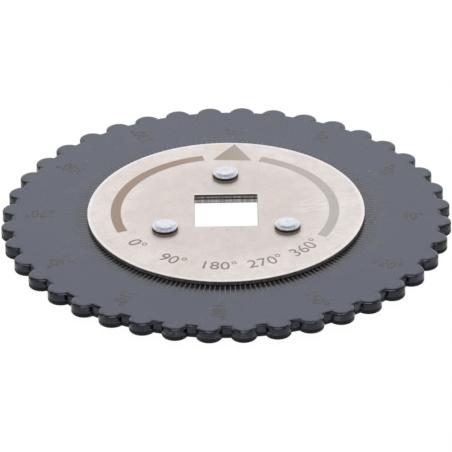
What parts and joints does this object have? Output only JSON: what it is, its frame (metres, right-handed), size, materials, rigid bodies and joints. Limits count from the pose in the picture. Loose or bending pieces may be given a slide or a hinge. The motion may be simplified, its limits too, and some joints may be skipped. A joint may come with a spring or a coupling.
{
  "type": "torque angle gauge",
  "caption": "Flat lobed dial that turns on a riveted hub with a pointer plate and a square drive hole, to read how far a bolt is turned.",
  "frame": {"origin": "on the drive axis, on the underside of the hub's flange, where the gauge rests", "axes": "+Z along the drive axis, out of the pointer plate; +Y from the axis to the rear rivet, square to two sides of the drive hole"},
  "size_m": [0.092, 0.092, 0.0066],
  "materials": {
    "black_oxide": "black oxide on steel, satin, with fine scratches",
    "plate_nickel": "nickel plated, satin, with etched marks",
    "cup_nickel": "nickel plated, satin",
    "spring_steel": "bare spring steel",
    "rivet_metal": "bare, pressed"
  },
  "bodies": {
    "hub": {"pointer_plate": "plate_nickel", "hub_cup": "cup_nickel", "wave_washer": "spring_steel", "rivet_rear": "rivet_metal", "rivet_left": "rivet_metal", "rivet_right": "rivet_metal"},
    "dial": {"dial_ring": "black_oxide"}
  },
  "joints": [
    {"name": "dial_turn", "type": "hinge", "parent": "hub", "child": "dial", "pos_m": [0, 0, 0.003], "axis": [0, 0, 1], "continuous": true}
  ]
}
